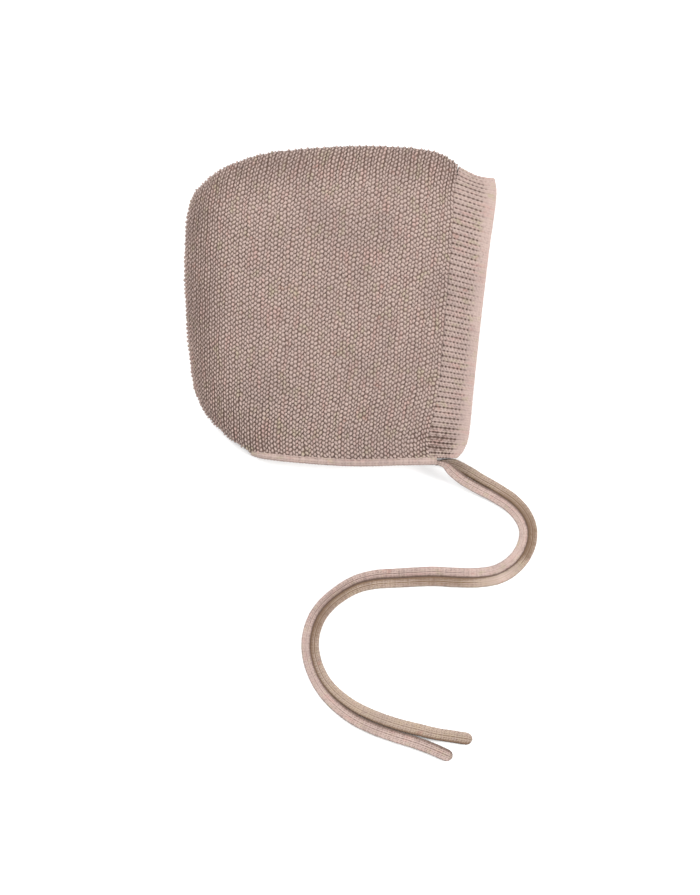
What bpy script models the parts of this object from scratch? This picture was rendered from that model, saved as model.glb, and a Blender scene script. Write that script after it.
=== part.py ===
"""Knitted baby bonnet lying folded flat on its side.

A garter-stitch crown of two layers joined by a rounded fold over the top, the back and the nape,
a ribbed band along the face opening, a rolled binding along the neck, and two flat ties.
+X points out of the face opening, +Y to the top of the head, +Z up from the table.
"""

import math

import bmesh
import bpy
import numpy as np

# Overall size of the folded bonnet
BONNET_DEPTH = 0.157
BONNET_HEIGHT = 0.1615

# Heights of the outside of the top layer above the table
CROWN_LOFT = 0.023
SEAM_LOFT = 0.0155
FACE_EDGE_LOFT = 0.0135
NECK_LOFT = 0.0125
FOLD_THICKNESS = 0.010
FOLD_REACH = 0.0065
PILLOW_REACH = 0.045

# Fabric
CROWN_WALL = 0.0026
SEAM_GAP = 0.0004

# Face band
BAND_WIDTH = 0.020
BAND_WALL = 0.0034
RIB_PITCH = 0.005
RIB_DEPTH = 0.0006
STATIONS_PER_RIB = 2

# Neck binding
BINDING_WIDTH = 0.0032
BINDING_THICKNESS = 0.0032
BINDING_OVERRUN = 0.0036
BINDING_STEP = 0.0045
BINDING_TURN_STEP = 0.0016
# Length of the nape's turn on each layer
BINDING_TURN = 4.0 * FOLD_REACH

# Ties: each solid is a round cord with the section area of the flat knitted tie
TIE_DIAMETER = 0.0046
TIE_SPACING = 0.0050
TIE_STEP = 2.2 * TIE_DIAMETER
TIE_LIFT = 0.00005

# Columns of the crown: over the neck edge, then over the nape
NECK_COLUMNS = 12
NAPE_COLUMNS = 12
CROWN_ROWS = 22
# Above 1, the nape's columns crowd towards the back fold, where the fabric turns
BACK_CROWDING = 1.4

# Samples along a strip that is then divided by its true length, and the reach of its tangents
STRIP_SAMPLES = 801
TANGENT_REACH = 0.002
SHARP_EDGE_DEG = 50

# Fold line from the nape round the back to the top corner: shares of depth and of height
NAPE_FOLD = [
    (0.213, 0.042),
    (0.150, 0.083),
    (0.112, 0.116),
    (0.062, 0.174),
    (0.034, 0.240),
]
BACK_FOLD = [
    (0.034, 0.240),
    (0.018, 0.335),
    (0.007, 0.455),
    (0.000, 0.630),
    (0.007, 0.765),
    (0.026, 0.839),
]
TOP_FOLD = [
    (0.880, 0.946),
    (0.828, 0.974),
    (0.775, 0.988),
    (0.690, 0.997),
    (0.540, 1.000),
    (0.350, 0.988),
    (0.258, 0.975),
    (0.182, 0.954),
    (0.118, 0.926),
    (0.067, 0.888),
    (0.026, 0.839),
]

# Lowest line of the bonnet under the neck binding, between the nape and the band
NECK_LINE = [
    (0.315, 0.012),
    (0.532, 0.000),
    (0.700, 0.003),
]

# Face edge from the neck up: shares of depth and height, then the band's width there and how much
# higher its seam lies, both as shares of the band width
FACE_EDGE = [
    (0.8730, 0.027, 0.69, 0.00),
    (0.8930, 0.048, 0.87, 0.00),
    (0.9090, 0.084, 1.00, 0.00),
    (0.9180, 0.146, 0.98, 0.00),
    (0.9270, 0.238, 0.91, 0.00),
    (0.9400, 0.362, 0.91, 0.00),
    (0.9580, 0.517, 0.95, 0.00),
    (0.9770, 0.672, 0.98, 0.00),
    (0.9910, 0.765, 1.04, 0.00),
    (1.0000, 0.839, 1.07, 0.08),
    (0.9987, 0.897, 0.95, 0.37),
]

# Section of the face band: share of the width from the seam, share of the wall from outside
BAND_SECTION = [
    (0.00, 0.20),
    (0.03, 0.00),
    (0.40, 0.00),
    (0.80, 0.00),
    (0.93, 0.04),
    (0.985, 0.24),
    (1.00, 0.50),
    (0.985, 0.76),
    (0.93, 0.96),
    (0.80, 1.00),
    (0.40, 1.00),
    (0.03, 1.00),
    (0.00, 0.80),
]

# Section of the binding, as shares of its half width and half thickness
BINDING_SECTION = [
    (1.0, 0.45),
    (0.55, 1.0),
    (-0.55, 1.0),
    (-1.0, 0.45),
    (-1.0, -0.45),
    (-0.55, -1.0),
    (0.55, -1.0),
    (1.0, -0.45),
]

# Route of the pair of ties over the table: x, y of the line between them, how far apart they lie
# as a share of the spacing, and how high the upper tie is carried as a share of its drop
TIE_ROUTE = [
    (0.0498, -0.0788, 0.00, 1.00),
    (0.0530, -0.0793, 0.25, 0.99),
    (0.0570, -0.0812, 0.75, 0.90),
    (0.0625, -0.0848, 1.00, 0.62),
    (0.0700, -0.0892, 1.00, 0.25),
    (0.0775, -0.0932, 1.00, 0.04),
    (0.0850, -0.0982, 1.00, 0.00),
    (0.0905, -0.1042, 1.00, 0.00),
    (0.0935, -0.1110, 1.00, 0.00),
    (0.0933, -0.1182, 1.00, 0.00),
    (0.0903, -0.1250, 1.00, 0.00),
    (0.0850, -0.1306, 1.00, 0.00),
    (0.0780, -0.1343, 1.00, 0.00),
    (0.0690, -0.1358, 1.00, 0.00),
    (0.0580, -0.1358, 1.00, 0.00),
    (0.0475, -0.1353, 1.00, 0.00),
    (0.0375, -0.1357, 1.00, 0.00),
    (0.0275, -0.1363, 1.00, 0.00),
    (0.0185, -0.1369, 1.00, 0.00),
    (0.0095, -0.1388, 1.00, 0.00),
    (0.0015, -0.1427, 1.00, 0.00),
    (-0.0055, -0.1480, 1.00, 0.00),
    (-0.0110, -0.1547, 1.00, 0.00),
    (-0.0142, -0.1625, 1.00, 0.00),
    (-0.0150, -0.1705, 1.00, 0.00),
    (-0.0135, -0.1785, 1.00, 0.00),
    (-0.0100, -0.1865, 1.00, 0.00),
    (-0.0050, -0.1935, 1.00, 0.00),
    (0.0015, -0.1995, 1.00, 0.00),
    (0.0090, -0.2045, 1.00, 0.00),
    (0.0180, -0.2087, 1.00, 0.00),
    (0.0280, -0.2122, 1.00, 0.00),
    (0.0380, -0.2150, 1.05, 0.00),
    (0.0475, -0.2176, 1.30, 0.00),
    (0.0560, -0.2198, 1.80, 0.00),
]
# The lower tie runs on a little further than the upper one
TIE_LOWER_EXTRA = 0.007

WOOL_COLOURS = {
    "crown": (0.40, 0.31, 0.28, 1.0),
    "face_band": (0.50, 0.38, 0.34, 1.0),
    "neck_binding": (0.52, 0.41, 0.37, 1.0),
    "tie_upper": (0.48, 0.37, 0.33, 1.0),
    "tie_lower": (0.46, 0.36, 0.31, 1.0),
}
WOOL_ROUGHNESS = 0.92


def clear_scene():
    """Remove the objects that a new file starts with."""
    for obj in list(bpy.data.objects):
        bpy.data.objects.remove(obj, do_unlink=True)


def wool(name):
    """A matt wool material with the piece's own shade."""
    material = bpy.data.materials.new(name + "_wool")
    material.use_nodes = True
    shader = material.node_tree.nodes["Principled BSDF"]
    shader.inputs["Base Color"].default_value = WOOL_COLOURS[name]
    shader.inputs["Roughness"].default_value = WOOL_ROUGHNESS
    shader.inputs["Metallic"].default_value = 0.0
    return material


def add_object(name, data):
    """Put a mesh or a curve in the scene under its own name and material."""
    data.materials.append(wool(name))
    obj = bpy.data.objects.new(name, data)
    bpy.context.scene.collection.objects.link(obj)
    return obj


def plan(shares):
    """Points on the table from shares of the bonnet's depth and height."""
    shares = np.asarray(shares, float)[:, :2]
    return (shares - 0.5) * (BONNET_DEPTH, BONNET_HEIGHT)


def smooth_through(points, steps=16):
    """Dense points of a Catmull-Rom curve through a few points."""
    points = np.asarray(points, float)
    ends = np.vstack([2 * points[0] - points[1], points, 2 * points[-1] - points[-2]])
    rows = []
    for a, b, c, d in zip(ends, ends[1:], ends[2:], ends[3:]):
        for t in np.arange(steps) / steps:
            square, cube = t * t, t * t * t
            rows.append(
                0.5 * (2 * b + (c - a) * t + (2 * a - 5 * b + 4 * c - d) * square
                       + (3 * b - a - 3 * c + d) * cube)
            )
    rows.append(points[-1])
    return np.array(rows)


def run_of(curve):
    """Length run along a dense curve, at each of its points."""
    steps = np.linalg.norm(np.diff(curve, axis=0), axis=1)
    return np.concatenate([[0.0], np.cumsum(steps)])


def at_runs(curve, runs):
    """Points of a dense curve at lengths run along it."""
    run = run_of(curve)
    return np.stack([np.interp(runs, run, column) for column in curve.T], axis=-1)


def at_shares(curve, shares):
    """Points of a dense curve at shares of its length."""
    return at_runs(curve, np.asarray(shares) * run_of(curve)[-1])


class Form:
    """The bonnet's plan and the heights of its two layers."""

    def __init__(self):
        edge = plan(FACE_EDGE)
        width = np.array([row[2] for row in FACE_EDGE]) * BAND_WIDTH
        lift = np.array([row[3] for row in FACE_EDGE]) * BAND_WIDTH
        self.face_edge = smooth_through(edge)
        self.seam = smooth_through(edge + np.stack([-width, lift], axis=-1))
        nape, back, top = plan(NAPE_FOLD), plan(BACK_FOLD), plan(TOP_FOLD)
        top[0] = self.seam[-1]
        whole = smooth_through(np.vstack([top, back[::-1][1:], nape[::-1][1:]]))
        steps = (len(whole) - 1) // (len(top) + len(back) + len(nape) - 3)
        back_start = (len(top) - 1) * steps
        nape_start = back_start + (len(back) - 1) * steps
        self.top_fold = whole[: back_start + 1]
        self.back_fold = whole[back_start : nape_start + 1][::-1]
        self.nape_fold = whole[nape_start:]
        self.fold = np.vstack([self.face_edge[-1:], whole])
        neck = plan(NECK_LINE) + (0.0, BINDING_WIDTH + SEAM_GAP)
        self.neck_edge = smooth_through(np.vstack([self.seam[:1], neck[::-1], self.nape_fold[-1:]]))

    def fold_distance(self, points):
        """Distance to the fold in plan, and the direction out to it."""
        start, step = self.fold[:-1], np.diff(self.fold, axis=0)
        rel = points[:, None, :] - start[None]
        share = np.clip((rel * step).sum(-1) / (step * step).sum(-1), 0.0, 1.0)
        away = start + share[..., None] * step - points[:, None, :]
        length = np.linalg.norm(away, axis=-1)
        nearest = length.argmin(axis=1)
        rows = np.arange(len(points))
        distance = length[rows, nearest]
        out = away[rows, nearest] / np.maximum(distance, 1e-9)[:, None]
        along = step[nearest] / np.linalg.norm(step[nearest], axis=1)[:, None]
        on_fold = distance < 1e-6
        out[on_fold] = np.stack([along[:, 1], -along[:, 0]], axis=-1)[on_fold]
        return distance, out

    def curve_distance(self, points, curve):
        """Distance in plan to the points of a dense curve."""
        return np.linalg.norm(points[:, None, :] - curve[None], axis=-1).min(axis=1)

    def loft(self, points, beyond_seam=False):
        """Height of the top layer over the fold's own thickness, away from every fold."""
        face = self.curve_distance(points, self.seam)
        neck = self.curve_distance(points, self.neck_edge)
        if beyond_seam:
            share = np.clip(face / BAND_WIDTH, 0.0, 1.0)
            across = SEAM_LOFT + (FACE_EDGE_LOFT - SEAM_LOFT) * share
        else:
            across = SEAM_LOFT + (CROWN_LOFT - SEAM_LOFT) * rising(face / PILLOW_REACH)
        near_neck = rising(neck / PILLOW_REACH)
        return NECK_LOFT + (across - NECK_LOFT) * near_neck - FOLD_THICKNESS

    def heights(self, points, layer, beyond_seam=False):
        """Heights of the outside of one layer: +1 is the top layer, -1 the one on the table."""
        distance, _ = self.fold_distance(points)
        turn = rounding(distance / FOLD_REACH)
        half = FOLD_THICKNESS / 2
        if layer < 0:
            return half * (1.0 - turn)
        return half * (1.0 + turn) + self.loft(points, beyond_seam) * rising(distance / PILLOW_REACH)


def rounding(share):
    """Quarter circle from 0 at the fold to 1 where the layer lies level."""
    return np.sqrt(1.0 - (1.0 - np.clip(share, 0.0, 1.0)) ** 2)


def rising(share):
    """Quarter sine from 0 to 1."""
    return np.sin(0.5 * math.pi * np.clip(share, 0.0, 1.0))


def crown_plan(form):
    """Grid of plan points, columns from the seam to the back and rows from the neck to the top."""
    bottom = np.vstack([form.neck_edge, form.nape_fold[::-1][1:]])
    neck_share = run_of(form.neck_edge)[-1] / run_of(bottom)[-1]
    over_neck = np.sin(0.5 * math.pi * np.arange(NECK_COLUMNS) / NECK_COLUMNS)
    over_nape = 1.0 - (1.0 - np.arange(NAPE_COLUMNS + 1) / NAPE_COLUMNS) ** BACK_CROWDING
    u = np.concatenate([neck_share * over_neck, neck_share + (1.0 - neck_share) * over_nape])
    v = 0.5 - 0.5 * np.cos(math.pi * np.arange(CROWN_ROWS + 1) / CROWN_ROWS)
    low, high = at_shares(bottom, u)[:, None], at_shares(form.top_fold, u)[:, None]
    front, back = at_shares(form.seam, v)[None], at_shares(form.back_fold, v)[None]
    uu, vv = u[:, None, None], v[None, :, None]
    corners = (
        (1 - uu) * (1 - vv) * low[0, 0] + uu * (1 - vv) * low[-1, 0]
        + (1 - uu) * vv * high[0, 0] + uu * vv * high[-1, 0]
    )
    return (1 - vv) * low + vv * high + (1 - uu) * front + uu * back - corners


def build_crown(form):
    """The garter-stitch shell: two layers that share the fold line, thickened inwards."""
    grid = crown_plan(form)
    columns, rows = grid.shape[:2]
    flat = grid.reshape(-1, 2)
    on_fold = np.zeros((columns, rows), bool)
    on_fold[:, -1] = True
    on_fold[-1, :] = True
    on_fold[NECK_COLUMNS:, 0] = True
    bm = bmesh.new()
    layers = []
    for layer in (1, -1):
        z = form.heights(flat, layer).reshape(columns, rows)
        z[on_fold] = FOLD_THICKNESS / 2
        verts = np.empty((columns, rows), object)
        for i in range(columns):
            for j in range(rows):
                if layers and on_fold[i, j]:
                    verts[i, j] = layers[0][i, j]
                else:
                    verts[i, j] = bm.verts.new((*grid[i, j], z[i, j]))
        layers.append(verts)
        for i in range(columns - 1):
            for j in range(rows - 1):
                quad = [verts[i, j], verts[i, j + 1], verts[i + 1, j + 1], verts[i + 1, j]]
                bm.faces.new(quad if layer > 0 else quad[::-1])
    mesh = bpy.data.meshes.new("crown")
    bm.to_mesh(mesh)
    bm.free()
    mesh.shade_smooth()
    crown = add_object("crown", mesh)
    wall = crown.modifiers.new("knit wall", "SOLIDIFY")
    wall.thickness = CROWN_WALL
    wall.offset = -1.0
    wall.use_rim = True
    return crown


def sweep(name, rings):
    """A closed solid through rings of points, with flat ends."""
    bm = bmesh.new()
    loops = [[bm.verts.new(point) for point in ring] for ring in rings]
    count = len(loops[0])
    for first, second in zip(loops, loops[1:]):
        for k in range(count):
            n = (k + 1) % count
            bm.faces.new([first[k], first[n], second[n], second[k]])
    bm.faces.new(loops[0][::-1])
    bm.faces.new(loops[-1])
    bmesh.ops.recalc_face_normals(bm, faces=bm.faces)
    mesh = bpy.data.meshes.new(name)
    bm.to_mesh(mesh)
    bm.free()
    mesh.shade_smooth()
    mesh.set_sharp_from_angle(angle=math.radians(SHARP_EDGE_DEG))
    return add_object(name, mesh)


def unit(vectors):
    """Vectors of length 1."""
    return vectors / np.linalg.norm(vectors, axis=-1, keepdims=True)


def band_outside(form, across, travel):
    """Points on the outside of the band. Travel runs from the neck of the table layer (-1), over
    the fold (0), to the neck of the top layer (1)."""
    share = 1.0 - travel * travel
    seam = at_shares(form.seam, share) + (SEAM_GAP, 0.0)
    edge = at_shares(form.face_edge, share)
    spot = seam + across * (edge - seam)
    upper = form.heights(spot, 1, beyond_seam=True)
    lower = form.heights(spot, -1)
    return np.column_stack([spot, np.where(travel > 0, upper, lower)])


def build_face_band(form):
    """The ribbed band: one strip that runs up the table layer, over the fold and down again."""
    travel = np.linspace(-1.0, 1.0, STRIP_SAMPLES)
    middle = band_outside(form, 0.5, travel)
    run = run_of(middle)
    ribs = round(run[-1] / RIB_PITCH)
    count = ribs * STATIONS_PER_RIB
    stops = np.interp(np.linspace(0.0, run[-1], count + 1), run, travel)
    wave = 0.5 - 0.5 * np.cos(math.pi * np.arange(count + 1))
    along = unit(
        band_outside(form, 0.5, np.minimum(stops + TANGENT_REACH, 1.0))
        - band_outside(form, 0.5, np.maximum(stops - TANGENT_REACH, -1.0))
    )
    outward = unit(band_outside(form, 1.0, stops) - band_outside(form, 0.0, stops))
    normal = unit(np.cross(along, outward))
    rings = []
    for k in range(count + 1):
        ring = []
        for across, deep in BAND_SECTION:
            point = band_outside(form, across, stops[k : k + 1])[0]
            groove = RIB_DEPTH * wave[k] * (1.0 - across**3)
            depth = deep * BAND_WALL + groove * (1.0 - 2.0 * deep)
            ring.append(point - normal[k] * depth)
        rings.append(ring)
    return sweep("face_band", rings)


def binding_outside(form, travel):
    """Along the outside of the neck loop: its points, the way on past the edge, the way out of the
    fabric, and the gap to leave. Travel runs from the table layer's front corner (-1), round the
    nape (0), to the top layer's (1)."""
    start = form.neck_edge[:1] + (BINDING_OVERRUN, 0.0)
    line = np.vstack([start, form.neck_edge])[::-1]
    spot = at_shares(line, travel * travel)
    upper, lower = form.heights(spot, 1), form.heights(spot, -1)
    distance, out = form.fold_distance(spot)
    down = unit(form.nape_fold[-1] - form.nape_fold[-6])
    bend = np.clip(1.0 - distance / FOLD_REACH, 0.0, 1.0)[:, None] ** 2
    onward = unit((1.0 - bend) * (0.0, -1.0) + bend * down)
    slope = np.where(distance < FOLD_REACH, 1.0 - distance / FOLD_REACH, 0.0)
    rise = np.sqrt(np.maximum(1.0 - slope**2, 0.0)) * np.where(travel > 0, 1.0, -1.0)
    normal = unit(np.column_stack([out * slope[:, None], rise]))
    points = np.column_stack([spot, np.where(travel > 0, upper, lower)])
    clearance = SEAM_GAP * (1.0 + 3.0 * bend[:, 0])
    return points, np.column_stack([onward, np.zeros(len(spot))]), normal, clearance


def build_neck_binding(form):
    """The rolled binding that hangs on from the neck edge of both layers."""
    dense = np.linspace(-1.0, 1.0, STRIP_SAMPLES)
    run = run_of(binding_outside(form, dense)[0])
    nape = np.interp(0.0, dense, run)
    long_steps = math.ceil((nape - BINDING_TURN) / BINDING_STEP)
    turn_steps = 2 * math.ceil(BINDING_TURN / BINDING_TURN_STEP)
    runs = np.concatenate([
        np.linspace(0.0, nape - BINDING_TURN, long_steps, endpoint=False),
        np.linspace(nape - BINDING_TURN, nape + BINDING_TURN, turn_steps, endpoint=False),
        np.linspace(nape + BINDING_TURN, run[-1], long_steps + 1),
    ])
    stops = np.interp(runs, run, dense)
    rings = []
    for point, on, out, gap in zip(*binding_outside(form, stops)):
        on = unit(on - out * (on @ out))
        centre = point + on * (gap + BINDING_WIDTH / 2) - out * BINDING_THICKNESS / 2
        rings.append([
            centre + on * (a * BINDING_WIDTH / 2) + out * (b * BINDING_THICKNESS / 2)
            for a, b in BINDING_SECTION
        ])
    return sweep("neck_binding", rings)


def tie_centres(form, side):
    """Centre line of one tie: side +1 is the upper layer's tie, -1 the lower layer's."""
    route = smooth_through(TIE_ROUTE)
    spot, spread, carried = route[:, :2], route[:, 2], route[:, 3]
    heading = unit(np.gradient(spot, axis=0))
    right = np.stack([heading[:, 1], -heading[:, 0]], axis=-1)
    centre = spot + side * right * (spread * TIE_SPACING / 2)[:, None]
    rest = TIE_DIAMETER / 2 + TIE_LIFT
    drop = NECK_LOFT - BINDING_THICKNESS / 2 - rest
    z = rest + drop * np.maximum(carried, 0.0) if side > 0 else np.full(len(spot), rest)
    line = np.column_stack([centre, z])
    if side < 0:
        ahead = unit(line[-1] - line[-2])
        line = np.vstack([line, line[-1] + ahead * TIE_LOWER_EXTRA])
    return line


def build_tie(form, name, side):
    """One tie as a round cord laid on the table."""
    line = tie_centres(form, side)
    count = math.ceil(run_of(line)[-1] / TIE_STEP) + 1
    points = at_shares(line, np.linspace(0.0, 1.0, count))
    curve = bpy.data.curves.new(name, "CURVE")
    curve.dimensions = "3D"
    curve.bevel_depth = TIE_DIAMETER / 2
    curve.bevel_resolution = 2
    curve.use_fill_caps = True
    spline = curve.splines.new("POLY")
    spline.points.add(count - 1)
    for slot, point in zip(spline.points, points):
        slot.co = (*point, 1.0)
    spline.use_smooth = True
    return add_object(name, curve)


def main():
    clear_scene()
    form = Form()
    build_crown(form)
    build_face_band(form)
    build_neck_binding(form)
    build_tie(form, "tie_upper", 1)
    build_tie(form, "tie_lower", -1)


main()
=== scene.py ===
"""Looks of a knitted baby bonnet that lies folded on its side, with its two ties on the table.

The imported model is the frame. The garter-stitch crown, the ribbed face band, the rolled neck
binding and the two ties are dense knitted meshes over the same form, in heathered wool.
Everything is in metres: +X out of the face opening, +Y to the top of the head, +Z up.
"""

import logging
import math
from dataclasses import dataclass, field
from enum import Enum
from typing import Any

import bpy
import numpy as np
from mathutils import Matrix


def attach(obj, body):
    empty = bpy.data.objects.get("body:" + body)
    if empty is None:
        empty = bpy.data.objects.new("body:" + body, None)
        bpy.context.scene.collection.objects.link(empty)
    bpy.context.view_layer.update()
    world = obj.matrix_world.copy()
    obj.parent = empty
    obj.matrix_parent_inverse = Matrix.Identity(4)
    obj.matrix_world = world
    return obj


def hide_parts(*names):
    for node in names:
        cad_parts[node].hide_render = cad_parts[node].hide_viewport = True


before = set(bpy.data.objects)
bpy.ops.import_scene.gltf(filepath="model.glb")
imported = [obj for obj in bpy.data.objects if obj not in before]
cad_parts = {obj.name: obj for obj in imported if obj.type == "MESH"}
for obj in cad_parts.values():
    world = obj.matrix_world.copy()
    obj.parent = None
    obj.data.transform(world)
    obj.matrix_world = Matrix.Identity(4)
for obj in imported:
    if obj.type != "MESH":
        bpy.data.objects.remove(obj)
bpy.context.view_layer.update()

LOG = logging.getLogger("bonnet")
BODY = "root"
MM = 0.001
SEED = 7
# How many points' distances are worked out at once, and how near the fold counts as on it
BATCH = 4000
ON_FOLD = 0.03 * MM


class Layer(Enum):
    """The two layers of the folded bonnet."""

    TOP = 1
    TABLE = -1


def smooth_through(points: Any, steps: int = 16) -> np.ndarray:
    """Dense points of a Catmull-Rom curve through a few points.

    Args:
        points: The points that the curve passes through, a row each.
        steps: How many points each stretch gets.

    Returns:
        The dense points, a row each.
    """
    points = np.asarray(points, float)
    ends = np.vstack([2 * points[0] - points[1], points, 2 * points[-1] - points[-2]])
    t = (np.arange(steps) / steps)[:, None]
    rows = []
    for a, b, c, d in zip(ends, ends[1:], ends[2:], ends[3:]):
        rows.append(
            0.5 * (2 * b + (c - a) * t + (2 * a - 5 * b + 4 * c - d) * t**2
                   + (3 * b - a - 3 * c + d) * t**3)
        )
    return np.vstack(rows + [points[-1:]])


def run_of(curve: np.ndarray) -> np.ndarray:
    """Length run along a dense curve, at each of its points."""
    steps = np.linalg.norm(np.diff(curve, axis=0), axis=1)
    return np.concatenate([[0.0], np.cumsum(steps)])


def at_shares(curve: np.ndarray, shares: Any) -> np.ndarray:
    """Points of a dense curve at shares of its length.

    Args:
        curve: The dense points, a row each.
        shares: Where to read it, from 0 to 1.

    Returns:
        The points there, a row each.
    """
    run = run_of(curve)
    runs = np.asarray(shares) * run[-1]
    return np.stack([np.interp(runs, run, column) for column in curve.T], axis=-1)


def unit(vectors: np.ndarray) -> np.ndarray:
    """Vectors of length 1."""
    return vectors / np.maximum(np.linalg.norm(vectors, axis=-1, keepdims=True), 1e-12)


def rounding(share: np.ndarray) -> np.ndarray:
    """Quarter circle from 0 at the fold to 1 where the layer lies level."""
    return np.sqrt(1.0 - (1.0 - np.clip(share, 0.0, 1.0)) ** 2)


def rising(share: np.ndarray) -> np.ndarray:
    """Quarter sine from 0 to 1."""
    return np.sin(0.5 * math.pi * np.clip(share, 0.0, 1.0))


def easing(low: float, high: float, value: np.ndarray) -> np.ndarray:
    """Smooth step from 0 at low to 1 at high."""
    share = np.clip((value - low) / (high - low), 0.0, 1.0)
    return share * share * (3.0 - 2.0 * share)


@dataclass
class BonnetForm:
    """The bonnet's plan and the heights of its two layers, as the solids have them."""

    depth: float = 0.157
    height: float = 0.1615
    crown_loft: float = 0.023
    seam_loft: float = 0.0155
    edge_loft: float = 0.0135
    neck_loft: float = 0.0125
    fold_thickness: float = 0.010
    fold_reach: float = 0.0065
    pillow_reach: float = 0.045
    band_width: float = 0.020
    binding_width: float = 0.0032
    binding_overrun: float = 0.0036
    seam_gap: float = 0.0004
    nape_rows: tuple = (
        (0.213, 0.042), (0.150, 0.083), (0.112, 0.116), (0.062, 0.174), (0.034, 0.240),
    )
    back_rows: tuple = (
        (0.034, 0.240), (0.018, 0.335), (0.007, 0.455), (0.000, 0.630), (0.007, 0.765),
        (0.026, 0.839),
    )
    top_rows: tuple = (
        (0.880, 0.946), (0.828, 0.974), (0.775, 0.988), (0.690, 0.997), (0.540, 1.000),
        (0.350, 0.988), (0.258, 0.975), (0.182, 0.954), (0.118, 0.926), (0.067, 0.888),
        (0.026, 0.839),
    )
    neck_rows: tuple = ((0.315, 0.012), (0.532, 0.000), (0.700, 0.003))
    edge_rows: tuple = (
        (0.8730, 0.027, 0.69, 0.00), (0.8930, 0.048, 0.87, 0.00), (0.9090, 0.084, 1.00, 0.00),
        (0.9180, 0.146, 0.98, 0.00), (0.9270, 0.238, 0.91, 0.00), (0.9400, 0.362, 0.91, 0.00),
        (0.9580, 0.517, 0.95, 0.00), (0.9770, 0.672, 0.98, 0.00), (0.9910, 0.765, 1.04, 0.00),
        (1.0000, 0.839, 1.07, 0.08), (0.9987, 0.897, 0.95, 0.37),
    )

    def __post_init__(self) -> None:
        """Work out the dense lines of the plan from the rows of shares."""
        edge = self.plan(self.edge_rows)
        rows = np.array(self.edge_rows)
        lean = np.stack([-rows[:, 2], rows[:, 3]], axis=-1) * self.band_width
        self.face_edge = smooth_through(edge)
        self.seam = smooth_through(edge + lean)
        nape, back, top = (self.plan(r) for r in (self.nape_rows, self.back_rows, self.top_rows))
        top[0] = self.seam[-1]
        whole = smooth_through(np.vstack([top, back[::-1][1:], nape[::-1][1:]]))
        steps = (len(whole) - 1) // (len(top) + len(back) + len(nape) - 3)
        back_start = (len(top) - 1) * steps
        nape_start = back_start + (len(back) - 1) * steps
        self.top_fold = whole[: back_start + 1]
        self.back_fold = whole[back_start : nape_start + 1][::-1]
        self.nape_fold = whole[nape_start:]
        self.fold = np.vstack([self.face_edge[-1:], whole[::2]])
        neck = self.plan(self.neck_rows) + (0.0, self.binding_width + self.seam_gap)
        self.neck_edge = smooth_through(np.vstack([self.seam[:1], neck[::-1], self.nape_fold[-1:]]))

    def plan(self, shares: Any) -> np.ndarray:
        """Points on the table from shares of the bonnet's depth and height."""
        return (np.asarray(shares, float)[:, :2] - 0.5) * (self.depth, self.height)

    def spots(self, u: np.ndarray, v: np.ndarray) -> np.ndarray:
        """Plan points of the crown.

        Args:
            u: Shares from the seam (0) to the back fold (1), one for each column.
            v: Shares from the neck (0) to the top fold (1), one for each row.

        Returns:
            Points by column and row.
        """
        bottom = np.vstack([self.neck_edge, self.nape_fold[::-1][1:]])
        low, high = at_shares(bottom, u)[:, None], at_shares(self.top_fold, u)[:, None]
        front, back = at_shares(self.seam, v)[None], at_shares(self.back_fold, v)[None]
        uu, vv = u[:, None, None], v[None, :, None]
        corners = (
            (1 - uu) * (1 - vv) * bottom[0] + uu * (1 - vv) * bottom[-1]
            + (1 - uu) * vv * self.top_fold[0] + uu * vv * self.top_fold[-1]
        )
        return (1 - vv) * low + vv * high + (1 - uu) * front + uu * back - corners

    def fold_distance(self, points: np.ndarray) -> tuple[np.ndarray, np.ndarray]:
        """Distance to the fold in plan, and the direction out to it.

        Args:
            points: Plan points, a row each.

        Returns:
            The distances, and the directions as rows of unit vectors.
        """
        start, step = self.fold[:-1], np.diff(self.fold, axis=0)
        square = (step * step).sum(-1)
        along = step / np.sqrt(square)[:, None]
        distance, out = np.empty(len(points)), np.empty((len(points), 2))
        for first in range(0, len(points), BATCH):
            some = slice(first, first + BATCH)
            rel = points[some, None, :] - start[None]
            share = np.clip((rel * step).sum(-1) / square, 0.0, 1.0)
            away = share[..., None] * step - rel
            length = np.linalg.norm(away, axis=-1)
            nearest = length.argmin(axis=1)
            rows = np.arange(len(nearest))
            distance[some] = length[rows, nearest]
            towards = unit(away[rows, nearest])
            close = distance[some] < ON_FOLD
            side = np.stack([along[nearest, 1], -along[nearest, 0]], axis=-1)
            towards[close] = side[close]
            out[some] = towards
        distance[distance < ON_FOLD] = 0.0
        return distance, out

    def curve_distance(self, points: np.ndarray, curve: np.ndarray) -> np.ndarray:
        """Distance in plan to the nearest point of a dense curve.

        Args:
            points: Plan points, a row each.
            curve: The curve's points, a row each.

        Returns:
            A distance for each plan point.
        """
        found = np.empty(len(points))
        for first in range(0, len(points), BATCH):
            some = points[first : first + BATCH, None, :] - curve[None]
            found[first : first + BATCH] = np.linalg.norm(some, axis=-1).min(axis=1)
        return found

    def heights(self, points: np.ndarray, layer: Layer, beyond_seam: bool = False) -> np.ndarray:
        """Heights of the outside of one layer over the table.

        Args:
            points: Plan points, a row each.
            layer: The top layer, or the one on the table.
            beyond_seam: True on the face band, past the crown's front seam.

        Returns:
            A height for each point.
        """
        distance, _ = self.fold_distance(points)
        turn = rounding(distance / self.fold_reach)
        half = self.fold_thickness / 2
        if layer is Layer.TABLE:
            return half * (1.0 - turn)
        face = self.curve_distance(points, self.seam[::4])
        neck = self.curve_distance(points, self.neck_edge[::2])
        if beyond_seam:
            share = np.clip(face / self.band_width, 0.0, 1.0)
            across = self.seam_loft + (self.edge_loft - self.seam_loft) * share
        else:
            full = self.crown_loft - self.seam_loft
            across = self.seam_loft + full * rising(face / self.pillow_reach)
        near_neck = rising(neck / self.pillow_reach)
        rise = self.neck_loft + (across - self.neck_loft) * near_neck - self.fold_thickness
        return half * (1.0 + turn) + rise * rising(distance / self.pillow_reach)


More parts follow.
